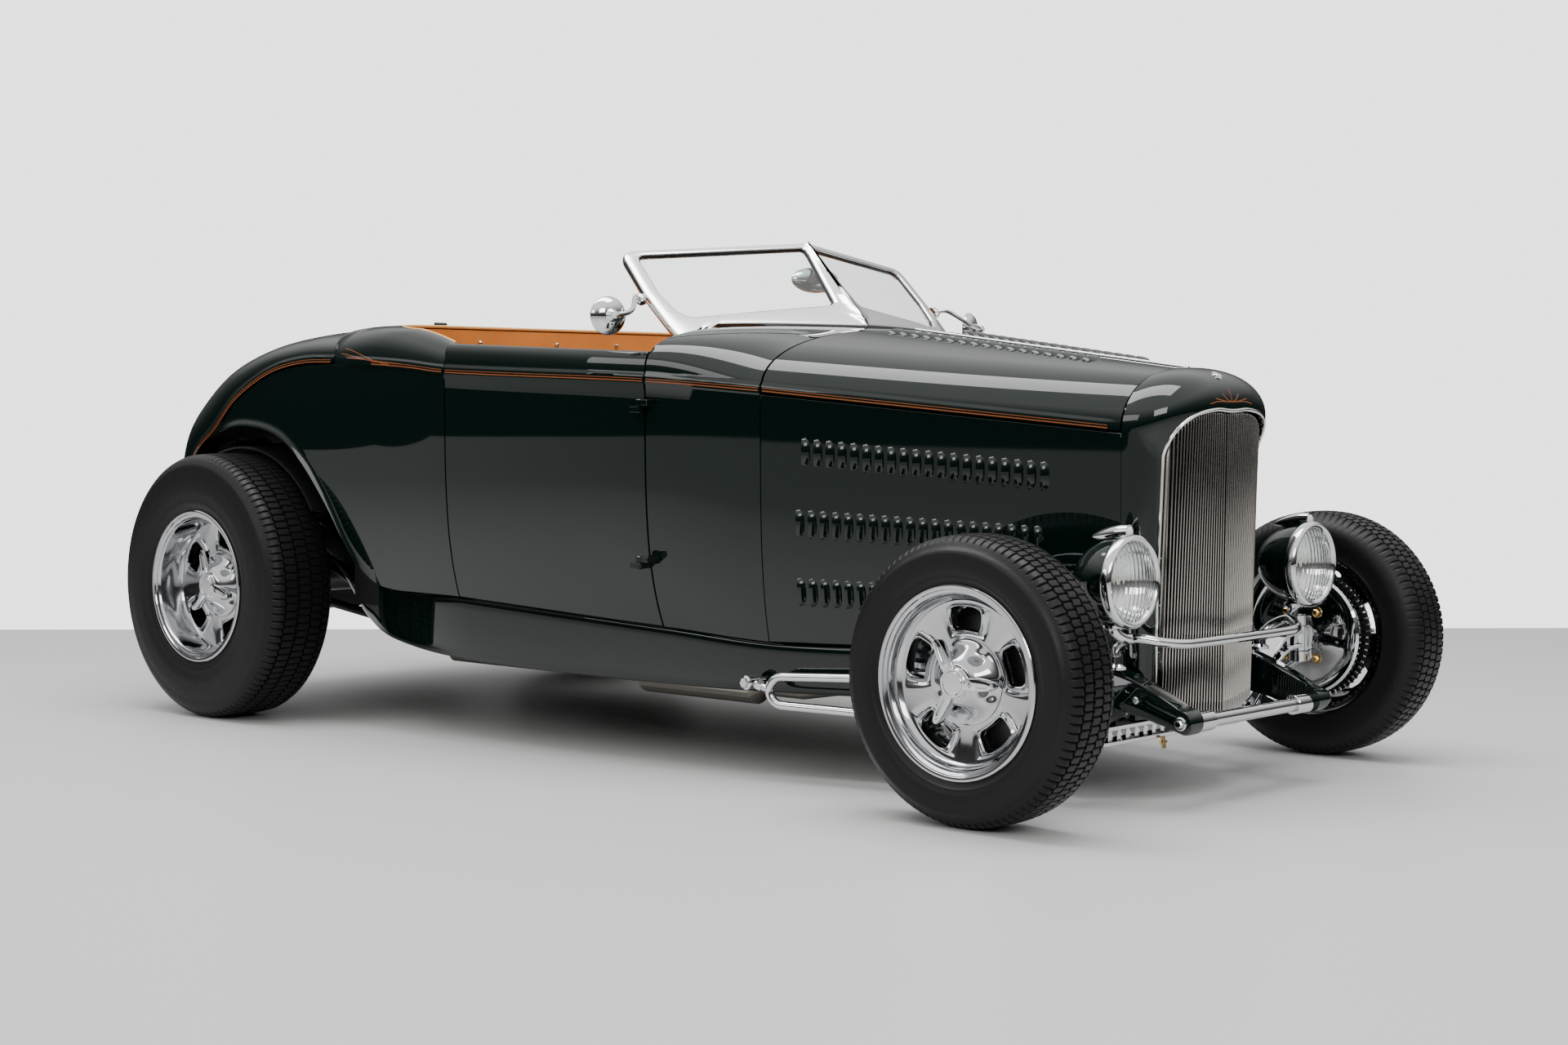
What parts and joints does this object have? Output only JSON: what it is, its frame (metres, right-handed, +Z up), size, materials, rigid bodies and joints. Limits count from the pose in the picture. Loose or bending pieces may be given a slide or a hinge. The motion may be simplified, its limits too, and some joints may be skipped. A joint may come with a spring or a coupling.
{
  "type": "street rod roadster",
  "caption": "Open two-seat street rod roadster: fenderless body, louvered hood, V windshield, dropped axle, opening doors, hood and deck lid.",
  "frame": {"origin": "on the ground under the middle of the car outline", "axes": "+X forward, +Y to the left side, +Z up"},
  "size_m": [3.522, 1.676, 1.31],
  "materials": {
    "body_paint": "gloss very dark green",
    "bright_chrome": "polished plating",
    "polished_steel": "polished stainless",
    "lens_glass": "fluted clear glass",
    "screen_glass": "clear with a green tint",
    "red_lens": "moulded red lens",
    "black_satin": "satin black",
    "cast_iron_paint": "painted casting",
    "cast_alloy": "as-cast alloy",
    "exhaust_steel": "heat-dulled steel",
    "leather_tan": "smooth saddle leather",
    "tyre_rubber": "black sidewall",
    "polished_alloy": "machined and polished"
  },
  "bodies": {
    "root": {"frame_rails": "body_paint", "crossmembers": "body_paint", "spreader_bars": "bright_chrome", "front_axle": "bright_chrome", "front_spring": "black_satin", "hairpins": "bright_chrome", "headlight_bar": "bright_chrome", "headlight_shells": "body_paint", "headlight_lenses": "lens_glass", "grille_shell": "body_paint", "grille_insert": "polished_steel", "radiator": "black_satin", "engine": "cast_iron_paint", "transmission": "cast_alloy", "exhaust": "exhaust_steel", "hood_sides": "body_paint", "hood_hinge": "bright_chrome", "cowl": "body_paint", "firewall": "body_paint", "floor_pan": "black_satin", "rear_bulkhead": "black_satin", "wheel_tubs": "black_satin", "quarter_panels": "body_paint", "cockpit_surround": "body_paint", "tail_panel": "body_paint", "seat_cushion": "leather_tan", "seat_back": "leather_tan", "cockpit_trim": "leather_tan", "dashboard": "body_paint", "steering_column": "bright_chrome", "windshield_frame": "polished_steel", "windshield_glass": "screen_glass", "mirrors": "bright_chrome", "rear_axle": "cast_alloy", "ladder_bars": "black_satin", "coilovers": "bright_chrome", "fuel_tank": "body_paint", "tail_lamps": "red_lens"},
    "wheel_front_right": {"front_tyre_right": "tyre_rubber", "front_wheel_right": "polished_alloy"},
    "wheel_front_left": {"front_tyre_left": "tyre_rubber", "front_wheel_left": "polished_alloy"},
    "wheel_rear_right": {"rear_tyre_right": "tyre_rubber", "rear_wheel_right": "polished_alloy"},
    "wheel_rear_left": {"rear_tyre_left": "tyre_rubber", "rear_wheel_left": "polished_alloy"},
    "knuckle_right": {"knuckle_right": "bright_chrome"},
    "knuckle_left": {"knuckle_left": "bright_chrome"},
    "tie_rod": {"tie_rod": "bright_chrome"},
    "drag_link": {"drag_link": "bright_chrome"},
    "pitman_arm": {"pitman_arm": "bright_chrome"},
    "steering_wheel": {"steering_wheel": "leather_tan"},
    "door_right": {"door_right": "body_paint", "door_trim_right": "leather_tan"},
    "door_left": {"door_left": "body_paint", "door_trim_left": "leather_tan"},
    "hood_top_right": {"hood_top_right": "body_paint"},
    "hood_top_left": {"hood_top_left": "body_paint"},
    "deck_lid": {"deck_lid": "body_paint"}
  },
  "joints": [
    {"name": "wheel_front_right_spin", "type": "hinge", "parent": "knuckle_right", "child": "wheel_front_right", "pos_m": [1.454, -0.713, 0.307], "axis": [0, 1, 0], "continuous": true},
    {"name": "wheel_front_left_spin", "type": "hinge", "parent": "knuckle_left", "child": "wheel_front_left", "pos_m": [1.454, 0.713, 0.307], "axis": [0, 1, 0], "continuous": true},
    {"name": "wheel_rear_right_spin", "type": "hinge", "parent": "root", "child": "wheel_rear_right", "pos_m": [-1.238, -0.7255, 0.374], "axis": [0, 1, 0], "continuous": true},
    {"name": "wheel_rear_left_spin", "type": "hinge", "parent": "root", "child": "wheel_rear_left", "pos_m": [-1.238, 0.7255, 0.374], "axis": [0, 1, 0], "continuous": true},
    {"name": "steer_right", "type": "hinge", "parent": "root", "child": "knuckle_right", "pos_m": [1.454, -0.595, 0.3], "axis": [0, 0, 1], "range_deg": [-25, 25]},
    {"name": "steer_left", "type": "hinge", "parent": "root", "child": "knuckle_left", "pos_m": [1.454, 0.595, 0.3], "axis": [0, 0, 1], "range_deg": [-25, 25]},
    {"name": "tie_rod_pivot", "type": "hinge", "parent": "knuckle_right", "child": "tie_rod", "pos_m": [1.324, -0.595, 0.136], "axis": [0, 0, 1], "range_deg": [-25, 25]},
    {"name": "drag_link_pivot", "type": "hinge", "parent": "knuckle_right", "child": "drag_link", "pos_m": [1.324, -0.595, 0.109], "axis": [0, 0, 1], "range_deg": [-25, 25]},
    {"name": "pitman_pivot", "type": "hinge", "parent": "root", "child": "pitman_arm", "pos_m": [1.204, 0.268, 0.146], "axis": [0, 0, 1], "range_deg": [-25, 25]},
    {"name": "steering_wheel_turn", "type": "hinge", "parent": "root", "child": "steering_wheel", "pos_m": [0.218, 0.32, 0.96], "axis": [-0.7436, 0, 0.6687], "range_deg": [-250, 250]},
    {"name": "door_right_hinge", "type": "hinge", "parent": "root", "child": "door_right", "pos_m": [0.408, -0.68, 0.7], "axis": [0, 0, 1], "range_deg": [0, 65]},
    {"name": "door_left_hinge", "type": "hinge", "parent": "root", "child": "door_left", "pos_m": [0.408, 0.68, 0.7], "axis": [0, 0, -1], "range_deg": [0, 65]},
    {"name": "hood_right_hinge", "type": "hinge", "parent": "root", "child": "hood_top_right", "pos_m": [0.708, 0, 1.072], "axis": [-0.9915, 0, 0.1305], "range_deg": [0, 75]},
    {"name": "hood_left_hinge", "type": "hinge", "parent": "root", "child": "hood_top_left", "pos_m": [0.708, 0, 1.072], "axis": [0.9915, 0, -0.1305], "range_deg": [0, 75]},
    {"name": "deck_lid_hinge", "type": "hinge", "parent": "root", "child": "deck_lid", "pos_m": [-0.7705, 0, 1.112], "axis": [0, 1, 0], "range_deg": [0, 50]}
  ],
  "couplings": [
    {"joint": "steer_left", "follows": "steer_right", "ratio": 1},
    {"joint": "tie_rod_pivot", "follows": "steer_right", "ratio": -1},
    {"joint": "drag_link_pivot", "follows": "steer_right", "ratio": -1},
    {"joint": "pitman_pivot", "follows": "steer_right", "ratio": 1},
    {"joint": "steering_wheel_turn", "follows": "steer_right", "ratio": 10}
  ]
}
